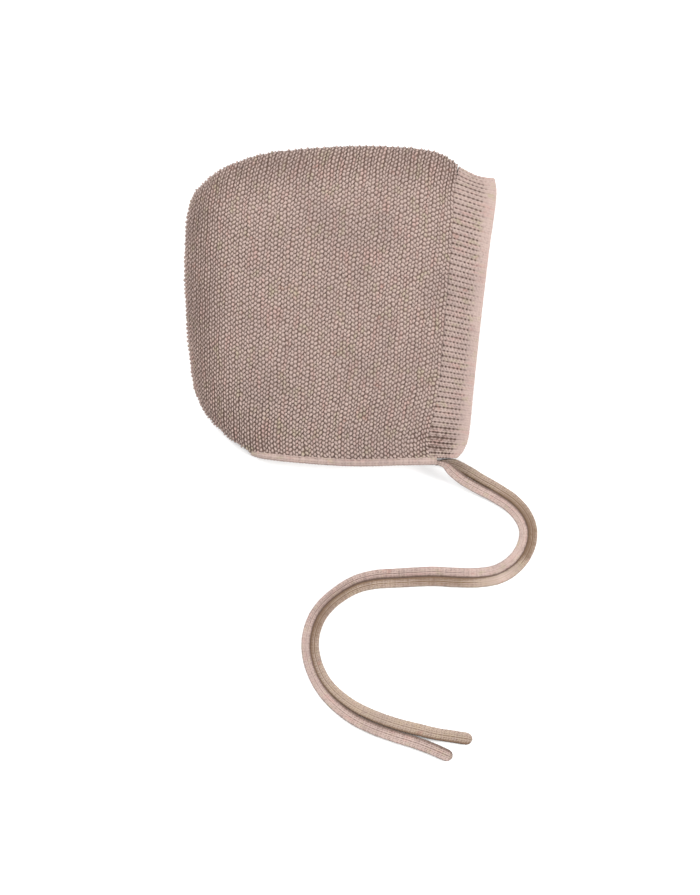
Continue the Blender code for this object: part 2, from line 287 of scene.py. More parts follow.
@dataclass
class StitchRelief:
    """Heights of knitted structures, from 0 in the gaps to about 1 on the yarn."""

    seed: int = SEED
    cells: int = 128
    unevenness: float = 0.24
    under: float = 0.16
    bump_width: float = 0.235
    bump_length: float = 0.38
    bump_offset: float = 0.25
    bump_lean: float = 0.17
    bump_stray: float = 0.03
    bump_slip: float = 0.05
    spread_loss: float = 0.085
    wander: float = 0.13
    leg_width: float = 0.17
    leg_foot: float = 0.10
    leg_spread: float = 0.28
    leg_start: float = 0.1
    leg_length: float = 1.45

    def __post_init__(self) -> None:
        """Draw the small differences between one stitch and the next."""
        draws = np.random.default_rng(self.seed)
        self.jitter = draws.normal(0.0, 1.0, (6, self.cells, self.cells)).clip(-2.0, 2.0)

    def uneven(self, kind: int, first: np.ndarray, second: np.ndarray) -> np.ndarray:
        """One stitch's own difference, by its place in the fabric."""
        rows, places = first.astype(int) % self.cells, second.astype(int) % self.cells
        return self.jitter[kind, rows, places]

    def garter(
        self, ridge: np.ndarray, stitch: np.ndarray, spread: Any = 0.0
    ) -> np.ndarray:
        """Garter stitch: two leaning bumps a stitch on each ridge, and a bed between the ridges.

        Args:
            ridge: Place across the ridges, a whole number on each crest.
            stitch: Place along them, in stitches.
            spread: How far the ridges are drawn apart, from 0 to 1.

        Returns:
            The height there.
        """
        wide = self.bump_width - self.spread_loss * spread
        ridge, stitch = self.drift(ridge, stitch)
        crest = np.round(ridge)
        across = ridge - crest
        height = np.zeros_like(ridge)
        for kind, side in enumerate((-1.0, 1.0)):
            phase = stitch - 0.25 * (1.0 + side)
            loop = np.round(phase)
            own = self.uneven(kind, crest, loop)
            along = phase - loop + self.bump_slip * self.uneven(kind + 2, crest, loop)
            stray = self.bump_stray * self.uneven(4, crest, loop)
            line = side * (self.bump_offset + self.bump_lean * along) + stray
            round_off = ((across - line) / wide) ** 2 + (along / self.bump_length) ** 2
            bump = np.sqrt(np.clip(1.0 - round_off, 0.0, 1.0)) * (1.0 + self.unevenness * own)
            height = np.maximum(height, self.under * (bump > 0) + (1.0 - self.under) * bump)
        bed = self.under * (1.0 - (0.55 + 0.45 * spread) * np.clip(across / 0.47, -1.0, 1.0) ** 4)
        return np.maximum(height, bed)

    def drift(self, ridge: np.ndarray, stitch: np.ndarray) -> tuple[np.ndarray, np.ndarray]:
        """Let the rows wander a little, as hand-fed wool does.

        Args:
            ridge: Place across the ridges.
            stitch: Place along them.

        Returns:
            Both places, moved by parts of a ridge and of a stitch.
        """
        turn = 2.0 * math.pi
        sway = np.sin(turn * (0.083 * stitch + 0.13 * ridge)) * np.sin(
            turn * (0.031 * stitch - 0.27 * ridge) + 1.0)
        slip = np.sin(turn * (0.057 * stitch - 0.19 * ridge)) * np.sin(
            turn * (0.041 * stitch + 0.37 * ridge) + 2.0)
        return ridge + self.wander * sway, stitch + 1.6 * self.wander * slip

    def plain(self, wale: np.ndarray, course: np.ndarray) -> np.ndarray:
        """Stocking stitch: columns of V-shaped loops.

        Args:
            wale: Place across the columns, a whole number in the middle of each.
            course: Place along them, in rows of stitches.

        Returns:
            The height there.
        """
        middle = np.round(wale)
        across = wale - middle
        height = np.zeros_like(wale)
        for back in (0.0, 1.0):
            row = np.floor(course) - back
            share = (course - row + self.leg_start) / self.leg_length
            own = self.uneven(5, middle, row)
            for side in (-1.0, 1.0):
                line = side * (self.leg_foot + self.leg_spread * share)
                off = (across - line) / self.leg_width
                body = np.sqrt(np.clip(1.0 - off**2, 0.0, 1.0))
                ends = np.sqrt(np.clip(1.0 - (2.0 * share - 1.0) ** 4, 0.0, 1.0))
                lift = 0.78 + 0.22 * share
                height = np.maximum(height, body * ends * lift * (1.0 + 0.08 * own))
        return height


@dataclass(frozen=True)
class Pucker:
    """Creases that draw the fabric together where the ties are sewn on."""

    centre: tuple[float, float] = (0.0485, -0.0690)
    reach: float = 8.5 * MM
    depth: float = 0.9 * MM
    folds: float = 7.0

    def at(self, points: np.ndarray) -> np.ndarray:
        """How much each plan point lies in a crease.

        Args:
            points: Plan points, in the last axis of any shape.

        Returns:
            A share from 0 to 1 for each point.
        """
        away = points - self.centre
        distance = np.linalg.norm(away, axis=-1)
        angle = np.arctan2(away[..., 1], away[..., 0])
        crease = 0.5 + 0.5 * np.cos(self.folds * angle + 0.9 * np.sin(distance / (2.1 * MM)))
        near = np.exp(-((distance / self.reach) ** 2))
        return near * (0.35 + 0.65 * crease**2)


@dataclass
class KnitMesh:
    """A mesh in the making, with what the wool's shader reads at each point."""

    name: str
    points: list = field(default_factory=list)
    knit: list = field(default_factory=list)
    normals: list = field(default_factory=list)
    faces: list = field(default_factory=list)
    count: int = 0

    def add(self, points: np.ndarray, knit: np.ndarray) -> np.ndarray:
        """Add points.

        Args:
            points: Places, in the last axis of any shape.
            knit: For each, its place across and along the yarn rows and its relief, which the
                shader turns into painted shade in the gaps and painted highlight above 1.

        Returns:
            The points' numbers, in the same shape.
        """
        shape = points.shape[:-1]
        size = int(np.prod(shape))
        self.points.append(points.reshape(-1, 3))
        self.knit.append(knit.reshape(-1, 3))
        numbers = np.arange(self.count, self.count + size).reshape(shape)
        self.count += size
        return numbers

    def quads(self, numbers: np.ndarray, flip: bool = False) -> None:
        """Fill a grid of point numbers with faces.

        Args:
            numbers: The grid.
            flip: True to turn the faces over.
        """
        corners = [numbers[:-1, :-1], numbers[1:, :-1], numbers[1:, 1:], numbers[:-1, 1:]]
        found = np.stack([c.reshape(-1) for c in corners], axis=-1)
        self.faces.extend((found[:, ::-1] if flip else found).tolist())

    def strip(self, fine: np.ndarray, coarse: np.ndarray, step: int, flip: bool = False) -> None:
        """Join a fine edge to a coarse one that has every step-th of its points.

        Args:
            fine: The fine edge's point numbers.
            coarse: The coarse edge's.
            step: How many fine steps make a coarse one.
            flip: True to turn the faces over.
        """
        for k in range(len(coarse) - 1):
            part = fine[k * step : (k + 1) * step + 1]
            half = step // 2
            fans = [(part[i], part[i + 1], coarse[k if i < half else k + 1]) for i in range(step)]
            fans.append((part[half], coarse[k + 1], coarse[k]))
            for tri in fans:
                self.faces.append([int(n) for n in (tri[::-1] if flip else tri)])

    def make(self) -> bpy.types.Object:
        """Make the object and put it in the scene.

        Returns:
            The object.
        """
        mesh = bpy.data.meshes.new(self.name)
        mesh.from_pydata(np.vstack(self.points).tolist(), [], self.faces)
        knit = mesh.attributes.new("knit", "FLOAT_VECTOR", "POINT")
        knit.data.foreach_set("vector", np.vstack(self.knit).astype(np.float32).reshape(-1))
        mesh.shade_smooth()
        mesh.update()
        if self.normals:
            mesh.normals_split_custom_set_from_vertices(np.vstack(self.normals).tolist())
        obj = bpy.data.objects.new(self.name, mesh)
        bpy.context.scene.collection.objects.link(obj)
        return obj


class Val:
    """A node socket that Python's operators can work on."""

    def __init__(self, nodes: "Nodes", socket: Any) -> None:
        """Wrap a socket of a node tree."""
        self.nodes = nodes
        self.socket = socket

    def math(self, operation: str, *others: Any) -> "Val":
        """The result of a Math node on this value and others."""
        made = self.nodes.add(
            "ShaderNodeMath", {"operation": operation},
            dict(enumerate([self, *others])),
        )
        return made[0]

    def __add__(self, other: Any) -> "Val":
        """Sum."""
        return self.math("ADD", other)

    def __radd__(self, other: Any) -> "Val":
        """Sum with a number on the left."""
        return self.math("ADD", other)

    def __sub__(self, other: Any) -> "Val":
        """Difference."""
        return self.math("SUBTRACT", other)

    def __rsub__(self, other: Any) -> "Val":
        """Difference from a number on the left."""
        return self.nodes.add("ShaderNodeMath", {"operation": "SUBTRACT"}, {0: other, 1: self})[0]

    def __mul__(self, other: Any) -> "Val":
        """Product."""
        return self.math("MULTIPLY", other)

    def __rmul__(self, other: Any) -> "Val":
        """Product with a number on the left."""
        return self.math("MULTIPLY", other)

    def step(self, low: float, high: float) -> "Val":
        """This value mapped smoothly from low to high onto 0 to 1."""
        made = self.nodes.add(
            "ShaderNodeMapRange", {"interpolation_type": "SMOOTHSTEP"},
            {"Value": self, "From Min": low, "From Max": high},
        )
        return made[0]


class Nodes:
    """A material's node tree."""

    def __init__(self, name: str) -> None:
        """Make a material with a Principled shader."""
        self.material = bpy.data.materials.new(name)
        self.material.use_nodes = True
        self.tree = self.material.node_tree
        self.shader = self.tree.nodes["Principled BSDF"]

    def put(self, sockets: Any, values: dict) -> None:
        """Set sockets to values or link them.

        Args:
            sockets: A node's inputs.
            values: Numbers, colours or values by socket name or number.
        """
        for key, value in values.items():
            if isinstance(value, Val):
                self.tree.links.new(value.socket, sockets[key])
            else:
                sockets[key].default_value = value

    def add(self, kind: str, settings: dict | None = None, values: dict | None = None) -> list[Val]:
        """Add a node.

        Args:
            kind: The node's type.
            settings: Its settings, set before its sockets.
            values: The values or links of its sockets.

        Returns:
            Its outputs that are in use.
        """
        node = self.tree.nodes.new(kind)
        for key, value in (settings or {}).items():
            setattr(node, key, value)
        self.put(node.inputs, values or {})
        return [Val(self, socket) for socket in node.outputs if socket.enabled]

    def mix(self, share: Any, first: Any, second: Any) -> Val:
        """A Mix node on colours.

        Args:
            share: How much of the second colour.
            first: The first colour, a value or three numbers.
            second: The second colour, a value or three numbers.

        Returns:
            The mixed colour.
        """
        node = self.tree.nodes.new("ShaderNodeMix")
        node.data_type = "RGBA"
        ends = [c if isinstance(c, Val) else (*c, 1.0) for c in (first, second)]
        self.put(node.inputs, {0: share, 6: ends[0], 7: ends[1]})
        return Val(self, node.outputs[2])


@dataclass(frozen=True)
class WoolFinish:
    """Heathered wool yarn: its colours, the painted shade in its gaps and painted highlight on
    raised yarn, its fuzz.
    """

    name: str
    tone: float = 1.0
    face: tuple = (0.352, 0.268, 0.238)
    # deep: painted shade colour for the gaps between stitches; gap sets how high the relief goes
    # before it fades
    deep: tuple = (0.088, 0.054, 0.042)
    rose: tuple = (0.360, 0.242, 0.214)
    olive: tuple = (0.308, 0.260, 0.182)
    shade: tuple = (0.205, 0.154, 0.146)
    fleck: tuple = (0.270, 0.120, 0.092)
    # pale: painted highlight where the relief rises above 1, and also the colour of the pale fibre
    # fuzz
    pale: tuple = (0.400, 0.302, 0.270)
    roughness: float = 0.93
    sheen: float = 0.12
    gap: float = 0.62
    fuzz_scale: float = 4200.0
    fuzz_depth: float = 0.22 * MM

    def toned(self, colour: tuple) -> tuple:
        """One of the wool's colours in this piece's tone."""
        return tuple(min(1.0, self.tone * part) for part in colour)

    def noise(self, nodes: Nodes, place: Val, scale: float, detail: float) -> Val:
        """A noise from about 0.3 to 0.7 over a place.

        Args:
            nodes: The node tree.
            place: Where to read it.
            scale: How fine it is.
            detail: How many finer layers it has.

        Returns:
            The noise's value.
        """
        values = {"Vector": place, "Scale": scale, "Detail": detail, "Roughness": 0.65}
        return nodes.add("ShaderNodeTexNoise", None, values)[0]

    def dress(self, obj: bpy.types.Object) -> None:
        """Give a knitted piece this wool.

        Args:
            obj: A piece whose mesh has the knit attribute.
        """
        nodes = Nodes(self.name)
        knit = nodes.add("ShaderNodeAttribute", {"attribute_name": "knit"})
        across, along, relief = nodes.add("ShaderNodeSeparateXYZ", None, {0: knit[1]})
        strand = nodes.add(
            "ShaderNodeCombineXYZ", None, {0: across * 0.8, 1: along * 0.15, 2: 0.0})[0]
        other = nodes.add(
            "ShaderNodeCombineXYZ", None, {0: across * 0.55, 1: along * 0.22, 2: 17.0})[0]
        place = nodes.add("ShaderNodeTexCoord")[3]
        fleck = self.noise(nodes, place, 620.0, 2.0)
        fibre = self.noise(nodes, place, self.fuzz_scale, 3.0)
        cloud = self.noise(nodes, place, 38.0, 3.0)
        colour = nodes.mix(
            self.noise(nodes, strand, 1.0, 3.0).step(0.50, 0.68), self.toned(self.face),
            self.toned(self.rose))
        colour = nodes.mix(
            self.noise(nodes, other, 1.0, 3.0).step(0.52, 0.70) * 0.8, colour,
            self.toned(self.olive))
        colour = nodes.mix(cloud.step(0.42, 0.66) * 0.26, colour, self.toned(self.shade))
        colour = nodes.mix(fleck.step(0.48, 0.74) * 0.55, colour, self.toned(self.shade))
        speck = self.noise(nodes, place, 170.0, 1.0).step(0.70, 0.76)
        colour = nodes.mix(speck * 0.35, colour, self.toned(self.fleck))
        # painted highlight: relief above 1 mixes in the pale colour
        colour = nodes.mix(relief.step(1.0, 1.6), colour, self.toned(self.pale))
        # painted shade: the deep colour fills the gaps where the relief is low
        colour = nodes.mix(
            (1.0 - relief.step(0.02, self.gap)) * 0.95, colour, self.toned(self.deep))
        colour = nodes.mix(fibre.step(0.52, 0.80) * 0.30, colour, self.toned(self.pale))
        bump = nodes.add(
            "ShaderNodeBump", None,
            {"Strength": 0.9, "Distance": self.fuzz_depth, "Height": fibre + fleck * 0.7},
        )[0]
        nodes.put(nodes.shader.inputs, {
            "Base Color": colour,
            "Roughness": self.roughness,
            "Specular IOR Level": 0.15,
            "Sheen Weight": self.sheen,
            "Sheen Roughness": 0.5,
            "Sheen Tint": (1.0, 0.93, 0.90, 1.0),
            "Normal": bump,
        })
        obj.data.materials.append(nodes.material)


def settle(obj: bpy.types.Object, slot: str, *nodes: str) -> bpy.types.Object:
    """Let a piece ride on the bonnet's body and stand for solids of it.

    Args:
        obj: The piece.
        slot: The record's material slot for the piece, which is only logged.
        nodes: The solids that it stands for.

    Returns:
        The piece.
    """
    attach(obj, BODY)
    if nodes:
        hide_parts(*nodes)
    faces = len(obj.data.polygons)
    LOG.info("%s: %d faces, slot %s", obj.name, faces, slot)
    return obj


def graded(count: int, length: float, reach: float, both: bool) -> np.ndarray:
    """Shares from 0 to 1 with even steps over the fabric, which turns down at a fold.

    Args:
        count: How many steps.
        length: The length in plan.
        reach: How far in plan from the fold the fabric turns.
        both: True if there is a fold at 0 too, and not only at 1.

    Returns:
        The shares, one more than the steps.
    """
    def plan_run(arc: np.ndarray) -> np.ndarray:
        """Length run in plan, for a length run over the fabric from the fold."""
        turn = 0.5 * math.pi * reach
        return np.where(arc < turn, reach * (1.0 - np.cos(arc / reach)), reach + arc - turn)

    extra = (0.5 * math.pi - 1.0) * reach
    if both:
        half = np.linspace(0.0, length / 2 + extra, count // 2 + 1)
        share = plan_run(half) / length
        return np.concatenate([share, 1.0 - share[:-1][::-1]])
    arc = np.linspace(0.0, length + extra, count + 1)
    return (1.0 - plan_run(arc) / length)[::-1]


@dataclass
class Crown:
    """The garter-stitch crown: two closed layers that meet in the fold."""

    form: BonnetForm
    relief: StitchRelief
    ridges: int = 44
    stitch: float = 2.2 * MM
    wall: float = 2.6 * MM
    pucker: Pucker = Pucker()
    top_steps: tuple[int, int] = (444, 440)
    table_steps: tuple[int, int] = (212, 216)
    inner_step: int = 4
    mean_columns: float = 0.132
    mean_rows: float = 0.150
    depth_middle: float = 0.90 * MM
    depth_border: float = 1.05 * MM
    border: float = 16 * MM
    seam_roll: float = 1.2 * MM
    seam_dip: float = 0.2 * MM

    def layer(
        self, names: tuple[str, ...], layer: Layer, steps: tuple[int, int]
    ) -> list[bpy.types.Object]:
        """Build one layer, knitted outside and plainer inside.

        Args:
            names: The names of its pieces, from the seam to the back.
            layer: Which layer.
            steps: How many columns and rows of faces.

        Returns:
            The pieces.
        """
        form = self.form
        u = graded(steps[0], self.mean_columns, form.fold_reach, both=False)
        v = graded(steps[1], self.mean_rows, form.fold_reach, both=True)
        spots = form.spots(u, v)
        flat = spots.reshape(-1, 2)
        shape = spots.shape[:2]
        distance, out = form.fold_distance(flat)
        z = form.heights(flat, layer).reshape(shape)
        distance, out = distance.reshape(shape), out.reshape(*shape, 2)
        base = np.concatenate([spots, z[..., None]], axis=-1)
        normal = self.normals(base, distance, out, layer)
        lengths = np.linalg.norm(np.diff(spots, axis=1), axis=-1).sum(axis=1)
        stitch = (v[None, :] - 0.5) * lengths[:, None] / self.stitch
        ridge = np.broadcast_to(u[:, None] * self.ridges, shape)
        open_up = 1.0 - easing(4 * MM, 26 * MM, distance)
        height = self.relief.garter(ridge, stitch, open_up)
        seam = form.curve_distance(flat, form.seam[::4]).reshape(shape)
        deep = self.depth_border + (self.depth_middle - self.depth_border) * rising(
            distance / self.border)
        crease = self.pucker.at(spots)
        sink = deep * (1.0 - height) + self.pucker.depth * crease
        sink += self.seam_dip * (1.0 - rounding(seam / self.seam_roll))
        outside = base - normal * sink[..., None]
        # painted shade: the relief is lowered in the tie creases, on top of the real sink there
        shade = height - 0.40 * crease
        k = self.inner_step
        rough = 0.25 * MM * self.relief.garter(ridge[::k, ::k], stitch[::k, ::k])
        inside = (base - normal * (self.wall + 0.3 * MM))[::k, ::k]
        inside = inside + normal[::k, ::k] * rough[..., None]
        knit = np.stack([ridge, stitch, shade], axis=-1)
        # painted shade on the inside of the layer: a flat relief of 0.35 mixes in part of the gap
        # colour
        inside_shade = np.full_like(knit[::k, ::k], 0.35)
        inside_shade[..., :2] = knit[::k, ::k, :2]
        lit = [layer.value * self.facing(outside), -layer.value * self.facing(inside)]
        flip = layer is Layer.TOP
        cuts = np.round(np.linspace(0, steps[0] // k, len(names) + 1)).astype(int)
        made = []
        for name, first, last in zip(names, cuts, cuts[1:]):
            mesh = KnitMesh(name)
            some, few = slice(first * k, last * k + 1), slice(first, last + 1)
            fine, coarse = mesh.add(outside[some], knit[some]), mesh.add(inside[few], inside_shade[few])
            mesh.normals = [lit[0][some].reshape(-1, 3), lit[1][few].reshape(-1, 3)]
            mesh.quads(fine, flip)
            mesh.quads(coarse, not flip)
            mesh.strip(fine[:, 0], coarse[:, 0], k, not flip)
            mesh.strip(fine[:, -1], coarse[:, -1], k, flip)
            if first == 0:
                mesh.strip(fine[0], coarse[0], k, flip)
            if last == cuts[-1]:
                mesh.strip(fine[-1], coarse[-1], k, not flip)
            made.append(mesh.make())
        return made

    def facing(self, grid: np.ndarray) -> np.ndarray:
        """Unit normals of a grid of points, up on the top layer."""
        return unit(np.cross(np.gradient(grid, axis=1), np.gradient(grid, axis=0)))

    def normals(
        self, base: np.ndarray, distance: np.ndarray, out: np.ndarray, layer: Layer
    ) -> np.ndarray:
        """Ways out of the fabric, level on the fold itself.

        Args:
            base: The layer's points by column and row.
            distance: Their distance to the fold in plan.
            out: The way in plan to the fold.
            layer: Which layer.

        Returns:
            A unit vector for each point.
        """
        found = unit(np.cross(np.gradient(base, axis=0), np.gradient(base, axis=1)))
        found *= np.where(found[..., 2:] * layer.value < 0, -1.0, 1.0)
        lean = np.clip(1.0 - distance / self.form.fold_reach, 0.0, 1.0)[..., None]
        turned = np.concatenate(
            [out * lean, layer.value * np.sqrt(np.clip(1.0 - lean**2, 0.0, 1.0))], axis=-1)
        near = easing(0.0, 1.0, (1.0 - distance / self.form.fold_reach))[..., None]
        return unit(found * (1.0 - near) + turned * near)

    def build(self, finish: WoolFinish) -> None:
        """Build and dress both layers.

        Args:
            finish: Their wool.
        """
        names = ("crown_top_front", "crown_top_middle", "crown_top_back")
        pieces = self.layer(names, Layer.TOP, self.top_steps)
        pieces += self.layer(("crown_table_layer",), Layer.TABLE, self.table_steps)
        for piece in pieces:
            finish.dress(piece)
            settle(piece, "crown_knit", "crown")


@dataclass
class FaceBand:
    """The ribbed band that runs round the face opening."""

    form: BonnetForm
    relief: StitchRelief
    wall: float = 3.4 * MM
    rib: float = 5.0 * MM
    course: float = 1.7 * MM
    pit: float = 2.2 * MM
    groove: float = 1.0 * MM
    stitch_depth: float = 0.65 * MM
    step: float = 0.42 * MM
    tuck: float = 0.06
    tuck_depth: float = 0.25 * MM
    edge_share: float = 0.085
    smooth_from: float = 0.60
    pucker: Pucker = Pucker()
    fold_run: float = 148 * MM
    look_ahead: float = 0.03
    fold_dip: float = 1.9 * MM
    fold_dip_reach: float = 9.0 * MM
    samples: int = 1601
    outer_rows: int = 44
    edge_rows: int = 13
    inner_rows: int = 20

    def outside(self, across: np.ndarray, travel: np.ndarray) -> np.ndarray:
        """Points on the band's outside.

        Args:
            across: Share from the seam (0) to the face edge (1).
            travel: From the neck of the table layer (-1) over the fold (0) to that of the top (1).

        Returns:
            The points, a row each.
        """
        share = 1.0 - travel * travel
        seam, edge = at_shares(self.form.seam, share), at_shares(self.form.face_edge, share)
        seam = seam + unit(edge - seam) * self.form.seam_gap
        spot = seam + np.asarray(across)[..., None] * (edge - seam)
        upper = self.form.heights(spot, Layer.TOP, beyond_seam=True)
        lower = self.form.heights(spot, Layer.TABLE)
        return np.column_stack([spot, np.where(travel > 0, upper, lower)])

    def section(self) -> np.ndarray:
        """The band's section, over its outside, round its face edge and back inside.

        Returns:
            Rows of share across, share of the wall, way out as two parts (through the fabric,
            past the edge), and millimetres run from the seam.
        """
        width = self.form.band_width
        face = np.linspace(-self.tuck, 1.0 - self.edge_share, self.outer_rows)
        angle = np.linspace(0.0, math.pi, self.edge_rows)[1:-1]
        back = np.linspace(1.0 - self.edge_share, -self.tuck, self.inner_rows)
        rows = [(a, 0.0, 1.0, 0.0, a * width / MM) for a in face]
        for phi in angle:
            place = 1.0 - self.edge_share * (1.0 - math.sin(phi))
            run = ((1.0 - self.edge_share) * width + phi * self.wall / 2) / MM
            rows.append((place, 0.5 - 0.5 * math.cos(phi), math.cos(phi), math.sin(phi), run))
        around = math.pi * self.wall / 2 / MM
        rows += [
            (a, 1.0, -1.0, 0.0, around + (2.0 - self.edge_share * 2 - a) * width / MM + 1.7)
            for a in back
        ]
        return np.array(rows)

    def build(self, finish: WoolFinish) -> None:
        """Build and dress the band.

        Args:
            finish: Its wool.
        """
        travel = np.linspace(-1.0, 1.0, self.samples)
        run = run_of(self.outside(np.full(self.samples, 0.5), travel))
        count = round(run[-1] / self.step)
        stops = np.interp(np.linspace(0.0, run[-1], count + 1), run, travel)
        path = np.linspace(0.0, run[-1], count + 1)
        half = np.full(count + 1, 0.5)
        along = unit(
            self.outside(half, np.minimum(stops + self.look_ahead, 1.0))
            - self.outside(half, np.maximum(stops - self.look_ahead, -1.0)))
        front = self.outside(half * 2.0, stops) - self.outside(half * 0.0, stops)
        onward = unit(front)
        normal = unit(np.cross(along, onward))
        ribs = round(run[-1] / self.rib)
        mesh = KnitMesh("face_band_knit")
        from_fold = stops * stops * self.fold_run
        columns, details = [], []
        for across, deep, out, past, far in self.section():
            spot = self.outside(half * 0.0 + max(across, 0.0), stops)
            level = min(max(across, 0.0), 1.0)
            close = np.exp(-((from_fold / self.fold_dip_reach) ** 2))
            dip = self.fold_dip * (0.85 * math.sin(math.pi * level) + 0.6 * (1.0 - level))
            spot[:, 1] -= dip * close
            before_seam = (min(across, 0.0) * (1.0 - close))[:, None]
            spot = spot + front * before_seam - normal * (deep * self.wall)
            way = normal * out + onward * past
            height, sink = self.surface(path / run[-1] * ribs, np.full(count + 1, far), across)
            crease = self.pucker.at(spot[:, :2]) * (stops > 0)
            # painted shade: the relief is lowered in the tie creases, on top of the real sink there
            height, sink = height - 0.45 * crease, sink + 0.7 * self.pucker.depth * crease
            tucked = self.tuck_depth * easing(0.03, -self.tuck, np.array(across))
            if across < 0.03:
                sink = sink + tucked
            columns.append(spot - way * sink[:, None])
            details.append(np.stack([path / self.rib * 2.0, np.full(count + 1, far / 1.7),
                                     height], axis=-1))
        grid = mesh.add(np.stack(columns), np.stack(details))
        ring = np.vstack([grid, grid[:1]])
        mesh.quads(ring)
        mesh.faces.append(grid[:, 0].tolist())
        mesh.faces.append(grid[::-1, -1].tolist())
        band = mesh.make()
        finish.dress(band)
        settle(band, "rib_knit", "face_band")

    def surface(
        self, ribs: np.ndarray, run: np.ndarray, across: float
    ) -> tuple[np.ndarray, np.ndarray]:
        """The ribs and their stitches.

        Args:
            ribs: Place along the band, in ribs.
            run: Millimetres run over the section from the seam.
            across: Share from the seam to the face edge.

        Returns:
            The relief, with painted shade in the pits and a painted highlight above 1 on the outer
            roll, and how far the surface sinks, for each point.
        """
        phase = ribs - np.floor(ribs)
        off = np.minimum(phase, 1.0 - phase)
        turn = 2.0 * math.pi * run * MM / self.pit
        bead = 0.5 + 0.5 * np.cos(turn + 0.9 * np.sin(ribs * 2.1))
        channel = np.exp(-((off / 0.165) ** 2)) * (0.45 + 0.55 * bead)
        middle = 0.95 * np.exp(-(((0.5 - off) / 0.12) ** 2)) * (0.30 + 0.70 * (1.0 - bead))
        pits = np.maximum(channel, middle)
        knit = self.relief.plain(phase * 2.0 - 0.5, run * MM / self.course)
        outer = float(easing(self.smooth_from, 0.90, np.array(across)))
        fade = 1.0 - 0.80 * outer
        sink = self.groove * fade * pits + self.stitch_depth * (0.45 + 0.55 * fade) * (1.0 - knit)
        # painted shade in the channels and pits, and a painted highlight on the outer roll from the
        # 0.35 * outer lift
        height = np.clip((0.35 + 0.65 * knit) * (1.0 - 0.95 * pits), 0.0, 1.0)
        return height * fade + (1.0 - fade) * (0.62 + 0.5 * knit) + 0.35 * outer, sink


@dataclass
class NeckBinding:
    """The rolled binding along the neck edge of both layers."""

    form: BonnetForm
    relief: StitchRelief
    width: float = 4.4 * MM
    thickness: float = 3.2 * MM
    tuck: float = 1.0 * MM
    nape_reach: float = 14 * MM
    step: float = 0.45 * MM
    ring: int = 30
    wales: int = 5
    course: float = 1.6 * MM
    stitch_depth: float = 0.42 * MM
    samples: int = 1601

    def outside(self, travel: np.ndarray) -> tuple[np.ndarray, ...]:
        """Along the outside of the neck loop.

        Args:
            travel: From the table layer's front corner (-1) round the nape to the top layer's (1).

        Returns:
            The points, the way on past the edge, the way out of the fabric, and how much the
            line turns over the nape.
        """
        form = self.form
        start = form.neck_edge[:1] + (form.binding_overrun, 0.0)
        line = np.vstack([start, form.neck_edge])[::-1]
        spot = at_shares(line, travel * travel)
        upper, lower = form.heights(spot, Layer.TOP), form.heights(spot, Layer.TABLE)
        distance, out = form.fold_distance(spot)
        down = unit(form.nape_fold[-1] - form.nape_fold[-6])
        bend = np.clip(1.0 - distance / form.fold_reach, 0.0, 1.0)[:, None] ** 2
        onward = unit((1.0 - bend) * (0.0, -1.0) + bend * down)
        slope = np.clip(1.0 - distance / form.fold_reach, 0.0, 1.0)
        rise = np.sqrt(1.0 - slope**2) * np.where(travel > 0, 1.0, -1.0)
        normal = unit(np.column_stack([out * slope[:, None], rise]))
        points = np.column_stack([spot, np.where(travel > 0, upper, lower)])
        return points, np.column_stack([onward, np.zeros(len(spot))]), normal, bend

    def build(self, finish: WoolFinish) -> None:
        """Build and dress the binding.

        Args:
            finish: Its wool.
        """
        travel = np.linspace(-1.0, 1.0, self.samples)
        run = run_of(self.outside(travel)[0])
        count = round(run[-1] / self.step)
        path = np.linspace(0.0, run[-1], count + 1)
        points, onward, normal, bend = self.outside(np.interp(path, run, travel))
        onward = unit(onward - normal * (onward * normal).sum(-1, keepdims=True))
        near = np.maximum(bend, np.exp(-np.abs(path - run[-1] / 2) / self.nape_reach)[:, None])
        past = self.width / 2 * (1.0 - 0.3 * near) - self.tuck * (1.0 + 0.9 * near)
        centre = points + onward * past - normal * self.thickness / 2
        mesh = KnitMesh("neck_binding_knit")
        columns, details = [], []
        for k in range(self.ring):
            angle = 2.0 * math.pi * k / self.ring
            side, level = math.cos(angle), math.sin(angle)
            wide = math.copysign(abs(side) ** 0.75, side) * self.width / 2 * (1.0 - 0.3 * near)
            thick = math.copysign(abs(level) ** 0.75, level) * self.thickness / 2
            wale = np.full(count + 1, k / self.ring * self.wales * 2.0)
            knit = self.relief.plain(wale, path / self.course)
            sink = self.stitch_depth * (1.0 - knit)
            way = onward * side + normal * level
            columns.append(centre + onward * wide + normal * thick - way * sink[:, None])
            # painted shade in the stitch gaps through the relief
            details.append(np.stack([wale, path / self.course, 0.3 + 0.7 * knit], axis=-1))
        grid = mesh.add(np.stack(columns), np.stack(details))
        mesh.quads(np.vstack([grid, grid[:1]]), flip=True)
        mesh.faces.append(grid[::-1, 0].tolist())
        mesh.faces.append(grid[:, -1].tolist())
        binding = mesh.make()
        finish.dress(binding)
        settle(binding, "binding_knit", "neck_binding")


